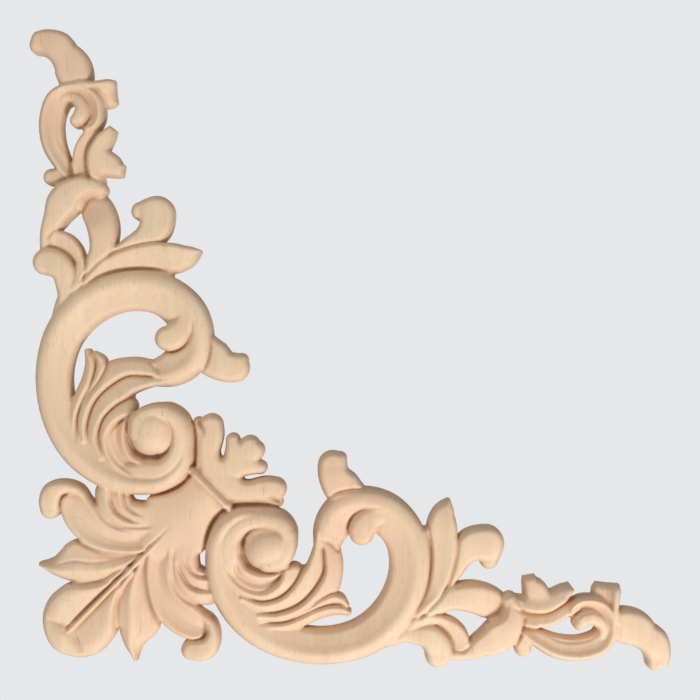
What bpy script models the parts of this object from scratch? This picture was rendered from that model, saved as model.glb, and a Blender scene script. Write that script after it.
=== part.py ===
"""Carved wooden corner onlay: one solid piece with two equal scrolled arms, symmetric about its diagonal.

The carved face looks towards -Y, the flat back lies on the plane y = 0, and the arms run along +X and +Z.
The carving is laid out in a drawing frame in millimetres: u runs along one arm from the outer corner,
v runs across it, and height stands off the flat back. Each carved form is a stroke. A stroke is a centre
line of stations, each with its half-width and height, and a cross-section swept along it. One arm is
drawn, the other is its mirror about u = v, and the forms on the diagonal are drawn once.
"""
import math

import bmesh
import bpy
import numpy as np

MM = 0.001
LEG = 200.0
THICKNESS = 15.0
ORIGIN = 44.5
BELOW_BACK = 3.0
CORE_HEIGHT = 5.6
CORE_STEP = 0.13
CAP_TURNS = (0.0, 0.5, 1.0)
ROWS_PER_SPAN = 24
LONG_SPAN = 7.0
LEAST_GAP = 0.25
HEADING_REACH = 0.05
BLUNT_END = 0.12
KEPT_FACETS = 0.65
LIT_WOOD = (0.70, 0.49, 0.30, 1)
WOOD_ROUGHNESS = 0.6

# Cross-sections: places from -1 at the left edge to +1 at the right edge, and the share of the height.
ROUND = ((-1, 0.62), (-0.62, 0.92), (0, 1), (0.62, 0.92), (1, 0.62))
SOFT = ((-1, 0.78), (-0.66, 0.96), (0, 1), (0.66, 0.96), (1, 0.78))
MOUND = ((-1, 0.80), (-0.5, 0.94), (0, 1), (0.5, 0.94), (1, 0.80))
TURN = ((-1, 0.86), (-0.5, 1), (0.2, 0.98), (0.6, 0.90), (1, 0.62))
LEAF = ((-1, 0.78), (-0.6, 1), (0, 0.82), (0.6, 1), (1, 0.78))
HOLLOW = ((-1, 0.82), (-0.74, 0.98), (0, 0.80), (0.74, 0.98), (1, 0.82))
RIM = ((-1, 0.69), (-0.3, 0.84), (0.3, 1), (0.72, 0.93), (1, 0.64))
STEEP = ((-1, 0.66), (-0.3, 0.78), (0.45, 1), (0.75, 0.94), (1, 0.60))
CUP = ((-1, 0.84), (-0.7, 1), (-0.1, 0.80), (0.5, 0.68), (1, 0.64))
RIDGE = ((-1, 0.70), (-0.3, 1), (0.3, 0.84), (1, 0.66))
BLADE = ((-1, 0.82), (-0.7, 1), (0.1, 0.93), (1, 0.80))
FLAT = ((-1, 1), (1, 1))

# Each stroke: cross-section, start end, finish end, and its stations (u, v, half-width, height).
SCROLL = {
    "volute": (TURN, "flat", "flat", (
        (81.2, 40.6, 2.4, 13.6), (81.0, 43.6, 2.7, 13.7), (78.4, 47.0, 3.0, 13.6),
        (72.4, 48.4, 3.1, 13.2), (66.2, 46.8, 3.6, 12.7), (61.9, 42.4, 4.0, 12.3),
        (61.2, 36.6, 4.4, 11.6), (62.2, 31.6, 2.8, 10.6), (63.6, 28.4, 1.2, 9.6))),
    "scroll": (RIM, "flat", "flat", (
        (70.4, 48.4, 3.1, 12.4), (65.6, 46.9, 4.2, 12.7), (61.2, 42.0, 4.9, 12.6),
        (60.2, 36.0, 5.2, 12.3), (61.3, 29.0, 5.7, 12.0), (64.9, 21.8, 6.4, 11.7),
        (70.8, 15.2, 6.5, 11.4), (78.4, 10.2, 5.8, 11.1), (87.2, 7.9, 5.6, 10.9),
        (96.4, 8.1, 5.7, 10.8), (105.2, 11.0, 6.0, 10.8), (112.8, 17.4, 6.3, 10.8),
        (117.6, 26.0, 6.5, 10.8), (118.6, 34.6, 6.4, 10.7), (116.6, 42.8, 6.5, 10.6),
        (111.0, 48.9, 6.6, 10.4), (103.8, 51.0, 6.4, 10.2), (97.4, 49.2, 6.0, 10.0),
        (94.2, 44.4, 5.7, 9.9), (92.6, 38.6, 4.1, 9.7))),
    "eye": (ROUND, "round", "round", (
        (67.7, 38.7, 6.2, 14.4), (75.1, 38.7, 6.4, 15.0), (82.6, 38.7, 6.3, 15.0))),
    "eye_crown": (SOFT, "round", "round", (
        (79.6, 41.0, 2.0, 12.8), (76.4, 42.8, 2.4, 12.6), (71.8, 42.8, 2.6, 12.3),
        (69.0, 39.8, 1.7, 11.8))),
    "eye_turn": (SOFT, "flat", "round", (
        (80.6, 43.8, 2.6, 13.5), (80.7, 39.4, 2.9, 14.0), (78.6, 35.8, 3.1, 14.2),
        (72.0, 34.8, 2.8, 13.4))),
    "horn": (SOFT, "flat", "round", (
        (102.4, 53.0, 4.6, 8.6), (97.8, 56.9, 5.8, 9.0), (94.9, 61.4, 4.9, 9.2),
        (94.6, 68.4, 4.3, 8.0))),
    "horn_point": (SOFT, "flat", "round", (
        (94.4, 61.0, 3.0, 8.8), (96.1, 64.4, 2.7, 8.4), (97.6, 67.6, 1.6, 7.6))),
    "inner_curl": (SOFT, "flat", "round", (
        (111.6, 48.6, 1.6, 9.0), (107.0, 47.8, 3.3, 9.9), (104.2, 45.0, 4.0, 10.4),
        (103.1, 39.6, 3.4, 9.8))),
}
SCROLL_LEAVES = {
    "inner_band": (HOLLOW, "flat", "flat", (
        (63.0, 40.0, 1.8, 11.4), (63.2, 35.0, 2.6, 11.3), (65.6, 30.4, 2.8, 11.2),
        (70.6, 27.7, 3.0, 11.0), (76.4, 28.1, 2.4, 10.6), (81.0, 31.0, 1.2, 10.0))),
    "lobe_flute": (BLADE, "flat", "round", (
        (60.4, 32.6, 0.8, 11.3), (63.8, 27.0, 1.4, 11.3), (68.4, 23.8, 1.8, 11.2),
        (73.6, 23.0, 2.0, 11.2), (78.6, 25.1, 2.5, 11.2), (81.8, 28.6, 3.0, 11.2),
        (82.9, 33.6, 2.8, 10.6))),
    "stem_flute": (BLADE, "flat", "flat", (
        (66.0, 22.6, 1.2, 10.9), (72.6, 19.9, 1.9, 11.0), (79.6, 21.2, 2.3, 11.0),
        (85.6, 25.4, 3.3, 10.9), (89.2, 31.6, 3.3, 10.6), (90.4, 37.6, 2.2, 10.4),
        (91.3, 44.0, 1.6, 9.9))),
    "bulge_flute": (BLADE, "flat", "flat", (
        (71.6, 17.2, 0.9, 10.6), (78.0, 16.8, 1.6, 10.7), (85.6, 19.0, 2.3, 10.7),
        (92.2, 24.4, 3.2, 10.5), (95.0, 30.6, 2.8, 10.3), (94.7, 36.4, 2.5, 10.1),
        (92.0, 42.4, 0.8, 9.8))),
    "upper_blade": (BLADE, "flat", "point", (
        (83.0, 16.6, 0.6, 9.9), (88.0, 18.6, 1.4, 9.8), (92.6, 21.2, 2.0, 9.6), (96.4, 22.2, 2.0, 9.2),
        (99.6, 20.0, 0.4, 8.6))),
    "lower_blade": (BLADE, "flat", "round", (
        (71.0, 14.4, 0.6, 10.0), (79.6, 14.0, 1.2, 10.1), (85.4, 15.7, 1.6, 10.0),
        (90.6, 18.0, 1.7, 9.8), (95.6, 19.0, 1.6, 9.4), (100.6, 18.0, 0.9, 8.6))),
}
NECK_LEAVES = {
    "root": (SOFT, "flat", "flat", (
        (106.0, 8.6, 2.6, 8.6), (114.0, 12.4, 4.3, 8.8), (121.5, 16.6, 5.0, 8.8),
        (129.0, 21.5, 3.2, 8.4))),
    "point_leaf": (BLADE, "point", "flat", (
        (130.9, 53.6, 0.4, 7.4), (130.0, 51.4, 2.4, 8.2), (129.0, 48.4, 3.9, 8.8),
        (128.6, 44.4, 4.8, 9.2), (128.7, 37.0, 4.1, 9.4), (126.6, 27.0, 2.9, 9.5),
        (119.6, 16.8, 1.2, 9.4))),
    "hook_leaf": (SOFT, "flat", "round", (
        (119.4, 15.0, 1.2, 9.0), (128.6, 25.6, 1.9, 9.2), (132.0, 30.6, 2.7, 9.2),
        (134.9, 36.4, 4.2, 9.2), (138.4, 39.3, 5.3, 9.2), (148.2, 40.0, 5.4, 8.8))),
    "hook_tip": (SOFT, "round", "round", (
        (142.9, 43.4, 4.4, 9.0), (143.4, 38.4, 4.4, 8.8), (143.4, 35.6, 3.4, 8.4),
        (142.9, 32.7, 1.7, 7.6))),
    "arch_leaf": (SOFT, "flat", "flat", (
        (118.0, 13.6, 1.6, 9.0), (123.5, 18.9, 2.4, 9.6), (131.0, 22.7, 3.8, 10.2),
        (138.5, 23.0, 4.9, 9.8), (144.6, 20.4, 5.0, 7.0), (148.0, 16.8, 3.6, 4.4))),
    "front_lobe": (SOFT, "flat", "round", (
        (112.0, 11.6, 1.8, 8.8), (119.6, 11.3, 2.8, 9.2), (124.4, 10.6, 3.8, 9.6),
        (127.2, 7.4, 4.2, 9.4), (127.1, 1.3, 3.8, 8.2))),
    "back_lobe": (BLADE, "flat", "round", (
        (118.0, 15.0, 1.2, 8.6), (126.4, 16.1, 1.7, 8.8), (131.6, 14.0, 2.4, 8.8),
        (134.2, 10.0, 3.0, 8.4), (133.0, 4.6, 2.6, 7.4))),
    "calyx": (SOFT, "flat", "round", (
        (130.7, 4.3, 1.1, 7.3), (136.4, 5.8, 2.5, 8.4), (141.0, 8.2, 3.8, 9.6),
        (146.0, 11.0, 5.2, 10.4), (150.2, 15.4, 3.7, 10.6), (150.9, 19.6, 2.8, 10.0),
        (149.0, 24.2, 1.7, 9.2))),
}
END_SCROLL = {
    "upper_frond": (BLADE, "flat", "flat", (
        (169.2, 26.2, 1.3, 7.4), (167.2, 24.8, 2.2, 8.2), (164.0, 22.9, 2.6, 9.0),
        (160.4, 21.3, 2.7, 9.4), (155.0, 21.2, 2.2, 9.4), (149.6, 22.6, 1.4, 9.0))),
    "back_frond": (SOFT, "flat", "flat", (
        (155.9, 29.5, 1.9, 7.2), (156.2, 28.0, 2.5, 7.4), (157.4, 25.6, 3.8, 7.8),
        (159.4, 21.8, 4.2, 8.0))),
    "lower_frond": (BLADE, "round", "flat", (
        (171.4, 21.4, 1.6, 7.8), (167.2, 19.2, 2.2, 8.6), (162.8, 16.5, 2.2, 8.8),
        (158.0, 15.5, 1.9, 8.8), (152.0, 16.8, 1.8, 8.6))),
    "ring": (STEEP, "flat", "round", (
        (152.8, 14.0, 1.6, 8.8), (158.2, 10.4, 2.9, 9.2), (164.6, 7.4, 3.7, 9.6),
        (171.8, 6.8, 3.9, 9.6), (178.2, 9.2, 3.9, 9.6), (180.3, 14.6, 3.2, 9.6),
        (178.2, 19.6, 3.0, 9.4), (173.8, 21.2, 2.6, 9.4), (170.6, 20.2, 2.4, 9.2),
        (168.6, 16.4, 1.7, 8.4))),
    "ring_curl": (SOFT, "flat", "round", (
        (178.6, 10.6, 1.6, 8.0), (178.4, 14.2, 1.8, 8.8), (175.4, 16.6, 2.2, 9.6),
        (172.6, 16.0, 2.4, 9.8), (170.2, 13.4, 1.7, 9.0))),
    "bud": (SOFT, "flat", "round", (
        (152.6, 12.0, 2.4, 8.0), (153.8, 8.4, 2.8, 8.0), (154.0, 4.6, 2.2, 7.2))),
    "cup_leaf": (CUP, "flat", "flat", (
        (180.4, 27.0, 3.5, 8.0), (180.2, 25.4, 4.3, 8.6), (179.9, 23.0, 4.2, 9.0),
        (181.0, 20.0, 2.6, 9.2), (181.9, 15.0, 1.6, 9.4))),
    "cup_edge": (SOFT, "flat", "flat", (
        (181.8, 14.0, 1.1, 9.4), (182.4, 20.0, 1.2, 9.6), (182.7, 23.6, 1.4, 9.4),
        (182.8, 26.8, 1.3, 8.4))),
    "end_leaf": (SOFT, "flat", "round", (
        (180.4, 14.4, 4.4, 8.4), (185.4, 14.2, 5.6, 8.8), (189.6, 12.8, 5.6, 8.8),
        (193.2, 9.0, 4.0, 8.6), (195.0, 4.6, 2.9, 8.2), (195.0, 0.0, 2.8, 7.4))),
    "end_tip": (SOFT, "flat", "round", (
        (189.5, 12.8, 3.2, 8.2), (194.4, 9.4, 4.7, 8.9), (196.6, 5.4, 3.45, 8.6),
        (196.3, 1.2, 2.4, 7.6))),
}
CORNER_LEAVES = {
    "side_leaf": (RIDGE, "point", "flat", (
        (33.2, 2.8, 0.5, 6.8), (32.8, 5.4, 1.7, 7.4), (32.6, 8.2, 3.3, 8.0), (33.0, 11.2, 5.1, 8.5),
        (33.8, 14.4, 6.8, 8.9), (34.0, 18.4, 7.1, 9.2), (33.4, 23.0, 5.4, 9.4),
        (34.8, 31.0, 2.8, 9.4), (38.0, 37.6, 1.2, 9.6))),
    "curl_leaf": (HOLLOW, "flat", "flat", (
        (43.0, 44.0, 3.0, 10.2), (40.9, 34.6, 4.1, 10.4), (41.2, 27.0, 4.4, 10.5),
        (44.8, 20.0, 5.3, 10.5), (50.2, 15.6, 5.4, 10.0), (55.8, 13.0, 3.6, 9.0))),
    "curl_hook": (SOFT, "point", "round", (
        (53.4, 19.0, 0.5, 9.4), (56.6, 15.6, 1.5, 9.8), (57.5, 11.4, 2.2, 10.2),
        (56.0, 7.8, 3.3, 10.2), (52.8, 6.8, 3.6, 9.8), (47.9, 7.0, 2.6, 8.6))),
    "fold_body": (SOFT, "flat", "flat", (
        (50.6, 46.0, 4.6, 10.0), (49.0, 39.0, 4.2, 10.0), (48.6, 34.4, 4.3, 9.8),
        (50.0, 30.4, 4.0, 9.6), (53.4, 28.0, 4.0, 9.2), (58.6, 26.8, 3.2, 8.6))),
    "lower_fold": (BLADE, "flat", "round", (
        (45.4, 35.0, 0.7, 10.1), (45.9, 30.4, 1.5, 10.4), (48.4, 25.6, 2.1, 10.4),
        (52.2, 23.3, 2.3, 10.2), (58.6, 22.8, 2.2, 9.4))),
    "upper_fold": (BLADE, "flat", "flat", (
        (47.6, 36.6, 0.6, 10.0), (48.2, 32.6, 1.3, 10.2), (50.4, 29.0, 1.9, 10.2),
        (53.6, 27.4, 2.2, 9.9), (58.4, 27.0, 2.2, 9.2))),
}
INNER_LEAVES = {
    "inner_side_lobe": (SOFT, "flat", "round", (
        (57.0, 57.4, 5.2, 9.8), (62.4, 57.4, 4.4, 9.8), (67.6, 56.3, 3.2, 9.8), (74.0, 56.9, 3.7, 9.7),
        (80.2, 56.2, 3.4, 8.8))),
    "inner_under_fold": (SOFT, "flat", "round", (
        (62.0, 53.6, 2.4, 8.6), (70.0, 53.2, 2.0, 8.6), (75.4, 52.9, 1.7, 8.4),
        (79.4, 52.4, 1.3, 7.6))),
    "inner_bump": (SOFT, "flat", "round", (
        (62.0, 62.6, 3.4, 9.4), (66.6, 63.5, 2.9, 9.2), (70.0, 63.7, 2.5, 9.0),
        (74.0, 63.1, 1.8, 8.2))),
    "inner_bump_far": (SOFT, "flat", "round", (
        (64.0, 67.0, 2.6, 8.4), (69.6, 68.6, 3.2, 9.0), (73.1, 69.1, 2.5, 8.2))),
}
# Low wood that closes the ground between neighbouring forms, from CORE_HEIGHT down: (u, v, half-width).
CORES = {
    "core_eye": (
        (62.0, 44.0, 4.0), (64.6, 33.0, 5.0), (73.0, 27.0, 6.0), (80.6, 27.0, 5.8), (87.0, 31.4, 1.6)),
    "core_leaves": (
        (66.0, 22.0, 5.0), (76.0, 18.5, 4.6), (86.0, 20.5, 4.6), (93.0, 27.0, 4.0), (93.6, 38.0, 3.6)),
    "core_neck": ((112.0, 13.0, 4.0), (122.0, 20.0, 4.6), (126.0, 32.0, 3.4), (125.6, 45.0, 3.4)),
    "core_hook": ((124.0, 18.0, 4.0), (129.0, 26.5, 2.6), (134.0, 35.0, 3.0)),
    "core_lobes": ((116.0, 12.6, 3.6), (126.0, 12.8, 3.6), (131.2, 8.6, 3.4)),
    "core_fronds": ((149.6, 19.0, 3.4), (158.0, 18.4, 2.8), (164.6, 20.0, 2.8), (169.4, 20.8, 1.4)),
    "core_folds": ((42.0, 40.0, 3.0), (46.6, 32.0, 3.4), (49.0, 26.6, 3.0), (59.0, 24.4, 3.0)),
    "core_shoulder": ((52.0, 44.0, 4.0), (58.4, 51.0, 4.0), (68.0, 53.0, 2.6)),
    "core_turn": ((65.6, 46.6, 4.0), (70.0, 42.4, 5.0), (80.8, 34.6, 4.4)),
}
DIAGONAL = {
    "paddle": (LEAF, "round", "flat", (
        (7.7, 7.7, 11.7, 8.2), (12.0, 12.0, 11.8, 8.5), (16.0, 16.0, 11.8, 9.0),
        (20.0, 20.0, 10.4, 9.2), (22.6, 22.6, 6.8, 9.2), (25.4, 25.4, 3.8, 9.4),
        (32.0, 32.0, 1.8, 9.6))),
    "paddle_rim": (SOFT, "flat", "flat", (
        (5.6, 20.0, 0.5, 7.4), (6.4, 14.6, 1.8, 9.0), (10.0, 10.0, 3.4, 9.9), (14.6, 6.4, 1.8, 9.0),
        (20.0, 5.6, 0.5, 7.4))),
    "midrib": (ROUND, "flat", "flat", (
        (12.6, 12.6, 0.5, 9.0), (24.0, 24.0, 0.7, 9.6), (36.0, 36.0, 0.7, 10.6),
        (46.5, 46.5, 0.5, 10.8))),
    "neck": (MOUND, "flat", "flat", (
        (33.0, 33.0, 2.0, 8.6), (38.0, 38.0, 5.6, 9.8), (42.0, 42.0, 9.6, 10.5),
        (46.0, 46.0, 12.0, 11.0), (49.6, 49.6, 9.9, 11.2), (53.0, 53.0, 8.4, 11.2),
        (57.6, 57.6, 8.4, 10.6))),
    "band": (ROUND, "round", "round", (
        (50.0, 63.6, 1.5, 12.2), (56.8, 56.8, 1.5, 12.4), (63.6, 50.0, 1.5, 12.2))),
    "inner_leaf": (SOFT, "flat", "round", (
        (55.0, 55.0, 8.6, 9.6), (60.0, 60.0, 6.6, 9.6), (63.0, 63.0, 4.8, 9.4), (66.0, 66.0, 4.6, 9.2),
        (71.6, 71.6, 4.6, 8.4))),
}


def clear_scene():
    """Remove whatever the file opened with."""
    for item in list(bpy.data.objects):
        bpy.data.objects.remove(item, do_unlink=True)


def wood():
    """Pale unfinished rubberwood, with the colour of the lit faces."""
    material = bpy.data.materials.new("bare_wood")
    material.use_nodes = True
    shader = material.node_tree.nodes["Principled BSDF"]
    shader.inputs["Base Color"].default_value = LIT_WOOD
    shader.inputs["Roughness"].default_value = WOOD_ROUGHNESS
    shader.inputs["Metallic"].default_value = 0.0
    material.diffuse_color = LIT_WOOD
    return material


def smooth_line(stations):
    """Rows on the curve through the stations, a centripetal spline spaced by the first two columns."""
    points = np.array(stations, float)
    points = np.vstack([2 * points[0] - points[1], points, 2 * points[-1] - points[-2]])
    gaps = np.sqrt(np.linalg.norm(np.diff(points[:, :2], axis=0), axis=1))
    knots = np.concatenate([[0], np.cumsum(gaps)])
    rows = []
    for i in range(1, len(points) - 2):
        for x in np.linspace(knots[i], knots[i + 1], ROWS_PER_SPAN, endpoint=False):
            def mix(low, high, first, second):
                return ((knots[high] - x) * first + (x - knots[low]) * second) / (knots[high] - knots[low])
            a = [mix(k, k + 1, points[k], points[k + 1]) for k in (i - 1, i, i + 1)]
            b = [mix(i - 1, i + 1, a[0], a[1]), mix(i, i + 2, a[1], a[2])]
            rows.append(mix(i, i + 1, b[0], b[1]))
    rows.append(points[-2])
    return np.array(rows)


def run_of(line):
    """Distance along a line at each of its rows."""
    return np.concatenate([[0], np.cumsum(np.linalg.norm(np.diff(line[:, :2], axis=0), axis=1))])


def rows_at(line, places):
    """The line's rows at given distances along it."""
    run = run_of(line)
    return np.stack([np.interp(places, run, line[:, column]) for column in range(line.shape[1])], -1)


def section_places(line, stations, caps):
    """Distances along a stroke where it gets a section: stations, middles of long spans, caps."""
    run = run_of(line)
    length = run[-1]
    knots = [0.0]
    for station in stations[1:-1]:
        knots.append(float(run[np.argmin(np.hypot(line[:, 0] - station[0], line[:, 1] - station[1]))]))
    knots.append(length)
    places = list(knots)
    for low, high in zip(knots, knots[1:]):
        if high - low > LONG_SPAN:
            places.append((low + high) / 2)
    body = [p for p in places if caps[0] <= p <= length - caps[1]]
    turns = [1 - math.cos(turn * math.pi / 2) for turn in CAP_TURNS]
    head = [caps[0] * turn for turn in turns] if caps[0] else [0.0]
    tail = [length - caps[1] * turn for turn in turns] if caps[1] else [length]
    merged = []
    for place in sorted(head + body + tail):
        if not merged or place - merged[-1] > LEAST_GAP:
            merged.append(place)
    merged[-1] = length
    return np.array(merged), length


def end_share(distance, cap):
    """How much of its full width a stroke has at a distance from a rounded end."""
    if not cap:
        return np.ones_like(distance)
    inward = np.clip(distance / cap, 0, 1)
    return np.maximum(np.sqrt(1 - (1 - inward) ** 2), BLUNT_END)


def stroke_grid(stroke):
    """Points (u, v, height) of one stroke: a row for each section, a column for each place across it."""
    profile, start, finish, stations = stroke
    line = smooth_line(stations)
    caps = (stations[0][2] if start == "round" else 0.0, stations[-1][2] if finish == "round" else 0.0)
    places, length = section_places(line, stations, caps)
    rows = rows_at(line, places)
    ahead = rows_at(line, np.minimum(places + HEADING_REACH, length))
    behind = rows_at(line, np.maximum(places - HEADING_REACH, 0))
    heading = ahead - behind
    heading = heading[:, :2] / np.linalg.norm(heading[:, :2], axis=1)[:, None]
    share = np.minimum(end_share(places, caps[0]), end_share(length - places, caps[1]))
    across = np.array([place for place, _ in profile])
    relief = np.array([part for _, part in profile])
    edge = min(profile[0][1], profile[-1][1])
    reach = across * (rows[:, 2] * share)[:, None]
    u = rows[:, 0, None] + heading[:, 1, None] * reach
    v = rows[:, 1, None] - heading[:, 0, None] * reach
    height = rows[:, 3, None] * (edge + (relief - edge) * share[:, None])
    return np.stack([u, v, np.minimum(height, THICKNESS)], -1)


def add_stroke(mesh, grid, mirrored):
    """Add one stroke to the mesh as a closed solid that reaches past the plane of the back."""
    if mirrored:
        grid = grid[:, ::-1, [1, 0, 2]]
    rows, columns = grid.shape[:2]

    def corner(point, height):
        return mesh.verts.new(((point[0] - ORIGIN) * MM, -height * MM, (point[1] - ORIGIN) * MM))

    top = [[corner(point, point[2]) for point in row] for row in grid]
    base = [[corner(point, -BELOW_BACK) for point in row] for row in grid]
    for r in range(rows - 1):
        for c in range(columns - 1):
            mesh.faces.new((top[r][c], top[r + 1][c], top[r + 1][c + 1], top[r][c + 1]))
            mesh.faces.new((base[r][c], base[r][c + 1], base[r + 1][c + 1], base[r + 1][c]))
        mesh.faces.new((top[r][0], base[r][0], base[r + 1][0], top[r + 1][0]))
        last = columns - 1
        mesh.faces.new((top[r][last], top[r + 1][last], base[r + 1][last], base[r][last]))
    for c in range(columns - 1):
        mesh.faces.new((top[0][c], top[0][c + 1], base[0][c + 1], base[0][c]))
        last = rows - 1
        mesh.faces.new((top[last][c], base[last][c], base[last][c + 1], top[last][c + 1]))


def core_stroke(stations, height):
    """A low flat-topped stroke of ground wood."""
    return FLAT, "flat", "flat", tuple((u, v, half, height) for u, v, half in stations)


def carved_mesh():
    """Every stroke of both arms and of the diagonal, as overlapping closed solids in one mesh."""
    mesh = bmesh.new()
    arm = {}
    for group in (SCROLL, SCROLL_LEAVES, NECK_LEAVES, END_SCROLL, CORNER_LEAVES, INNER_LEAVES):
        arm.update(group)
    for step, (name, stations) in enumerate(CORES.items()):
        arm[name] = core_stroke(stations, CORE_HEIGHT - step * CORE_STEP)
    for stroke in arm.values():
        grid = stroke_grid(stroke)
        add_stroke(mesh, grid, mirrored=False)
        add_stroke(mesh, grid, mirrored=True)
    for stroke in DIAGONAL.values():
        add_stroke(mesh, stroke_grid(stroke), mirrored=False)
    data = bpy.data.meshes.new("corner_onlay")
    mesh.to_mesh(data)
    mesh.free()
    return data


def trimming_block():
    """A guide block in front of the plane of the back: what the strokes keep inside it is the onlay."""
    reach = 2 * LEG * MM
    bpy.ops.mesh.primitive_cube_add(size=1)
    block = bpy.context.object
    block.name = "trimming_block"
    block.dimensions = (2 * reach, reach, 2 * reach)
    block.location = (0, -reach / 2, 0)
    block.hide_render = True
    block.display_type = "WIRE"
    return block


def united_mesh(rough):
    """The united solid as triangles, without the doubled facets that a union can leave on itself."""
    graph = bpy.context.evaluated_depsgraph_get()
    solid = bpy.data.meshes.new_from_object(rough.evaluated_get(graph))
    mesh = bmesh.new()
    mesh.from_mesh(solid)
    bmesh.ops.triangulate(mesh, faces=mesh.faces[:])
    doubled = [face for face in mesh.faces if all(len(edge.link_faces) > 2 for edge in face.edges)]
    bmesh.ops.delete(mesh, geom=doubled, context="FACES_ONLY")
    mesh.to_mesh(solid)
    mesh.free()
    return solid


def make_onlay():
    """One solid: the strokes united, cut flat at the back and rid of their smallest facets."""
    onlay = bpy.data.objects.new("corner_onlay", carved_mesh())
    bpy.context.scene.collection.objects.link(onlay)
    trim = onlay.modifiers.new("unite_and_trim", "BOOLEAN")
    trim.operation = "INTERSECT"
    trim.solver = "EXACT"
    trim.use_self = True
    trim.object = trimming_block()
    onlay.data = united_mesh(onlay)
    onlay.modifiers.remove(trim)
    onlay.data.materials.clear()
    onlay.data.materials.append(wood())
    thin = onlay.modifiers.new("merge_small_facets", "DECIMATE")
    thin.ratio = KEPT_FACETS
    return onlay


clear_scene()
make_onlay()
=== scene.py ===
# %% [markdown]
# A carved corner onlay is a flat-backed ornament that a carver or a routing machine cuts from one board and
# glues to the corner of a panel. This lesson dresses the plain solid of that onlay as bare, sanded
# rubberwood. The solid gives the outline and the main forms; here the same forms are drawn again with soft
# edges, hollowed leaves, creases and grain, close enough together to stand a close look.

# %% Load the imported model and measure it
import math

import bmesh
import bpy
import numpy as np
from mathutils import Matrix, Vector
from mathutils.kdtree import KDTree


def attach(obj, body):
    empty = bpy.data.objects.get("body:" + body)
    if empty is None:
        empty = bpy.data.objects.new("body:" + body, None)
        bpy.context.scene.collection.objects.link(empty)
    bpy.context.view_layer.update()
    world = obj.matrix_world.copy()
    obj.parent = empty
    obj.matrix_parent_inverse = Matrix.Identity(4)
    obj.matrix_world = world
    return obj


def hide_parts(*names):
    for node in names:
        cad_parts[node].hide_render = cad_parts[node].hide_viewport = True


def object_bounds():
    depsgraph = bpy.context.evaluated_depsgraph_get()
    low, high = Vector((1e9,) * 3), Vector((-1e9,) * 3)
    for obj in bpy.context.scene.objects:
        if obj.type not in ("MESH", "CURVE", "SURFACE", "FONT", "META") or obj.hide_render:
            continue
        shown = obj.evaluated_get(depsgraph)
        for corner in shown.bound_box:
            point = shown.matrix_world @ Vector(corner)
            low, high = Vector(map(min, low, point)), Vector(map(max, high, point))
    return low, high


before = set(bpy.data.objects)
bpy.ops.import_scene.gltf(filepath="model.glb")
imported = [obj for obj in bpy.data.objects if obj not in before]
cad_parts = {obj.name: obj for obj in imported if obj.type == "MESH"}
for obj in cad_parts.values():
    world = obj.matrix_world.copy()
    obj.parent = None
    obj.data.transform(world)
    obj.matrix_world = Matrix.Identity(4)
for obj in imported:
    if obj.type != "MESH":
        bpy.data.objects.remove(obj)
cad_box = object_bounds()
print("the solid's box in metres:", cad_box)

# %% [markdown]
# The carving is laid out flat, in millimetres, as a carver's drawing would be. u runs along one arm from
# the outer corner, v runs across it, and height stands off the flat back. The piece is the same on both
# sides of its diagonal, so one arm is drawn and mirrored, and only the forms on the diagonal are drawn
# once.

# %% The drawing frame
MM = 0.001
ORIGIN = 44.5
ARM_LENGTH = 200
THICKNESS = 15.0
CORE_HEIGHT = 5.6
print("the arms are", ARM_LENGTH, "mm long")

# %% [markdown]
# Each form is a stroke: a centre line with a half-width and a height at each station, and a cross-section
# swept along it. A cross-section is the share of the height left at each place between the left edge, -1,
# and the right edge, +1. A rounded fold is high in the middle, a leaf is hollow with raised edges, and the
# big scroll has its crest near the outer edge, from where a broad face falls inwards.

# %% Cross-sections
ROUND = ((-1, 0.66), (-0.86, 0.80), (-0.6, 0.92), (-0.3, 0.98), (0, 1), (0.3, 0.98), (0.6, 0.92),
         (0.86, 0.80), (1, 0.66))
SOFT = ((-1, 0.84), (-0.86, 0.93), (-0.6, 0.98), (0, 1), (0.6, 0.98), (0.86, 0.93), (1, 0.84))
MOUND = ((-1, 0.82), (-0.8, 0.86), (-0.5, 0.94), (-0.2, 0.99), (0, 1), (0.2, 0.99), (0.5, 0.94),
         (0.8, 0.86), (1, 0.82))
TURN = ((-1, 0.86), (-0.9, 0.95), (-0.6, 1), (-0.1, 1), (0.3, 0.96), (0.6, 0.89), (1, 0.70))
LEAF = ((-1, 0.80), (-0.88, 0.92), (-0.66, 1), (-0.4, 0.94), (0, 0.80), (0.4, 0.94), (0.66, 1),
        (0.88, 0.92), (1, 0.80))
HOLLOW = ((-1, 0.89), (-0.9, 0.96), (-0.76, 0.98), (-0.4, 0.86), (0, 0.79), (0.4, 0.86), (0.76, 0.98),
          (0.9, 0.96), (1, 0.89))
RIM = ((-1, 0.68), (-0.88, 0.73), (-0.5, 0.80), (-0.1, 0.89), (0.2, 0.98), (0.34, 1), (0.6, 0.96),
       (0.85, 0.86), (1, 0.70))
STEEP = ((-1, 0.68), (-0.85, 0.73), (-0.3, 0.78), (0.1, 0.87), (0.42, 1), (0.66, 0.97), (1, 0.66))
CUP = ((-1, 0.86), (-0.88, 0.97), (-0.65, 1), (-0.35, 0.92), (0.1, 0.76), (0.6, 0.68), (1, 0.68))
RIDGE = ((-1, 0.72), (-0.85, 0.79), (-0.5, 0.91), (-0.32, 1), (-0.1, 0.95), (0.4, 0.81), (0.8, 0.74),
         (1, 0.72))
BLADE = ((-1, 0.93), (-0.9, 0.98), (-0.75, 1), (-0.3, 0.96), (0.3, 0.88), (0.8, 0.82), (1, 0.80))
FLAT = ((-1, 1), (1, 1))
print("places in the section of the scroll:", len(RIM))

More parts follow.
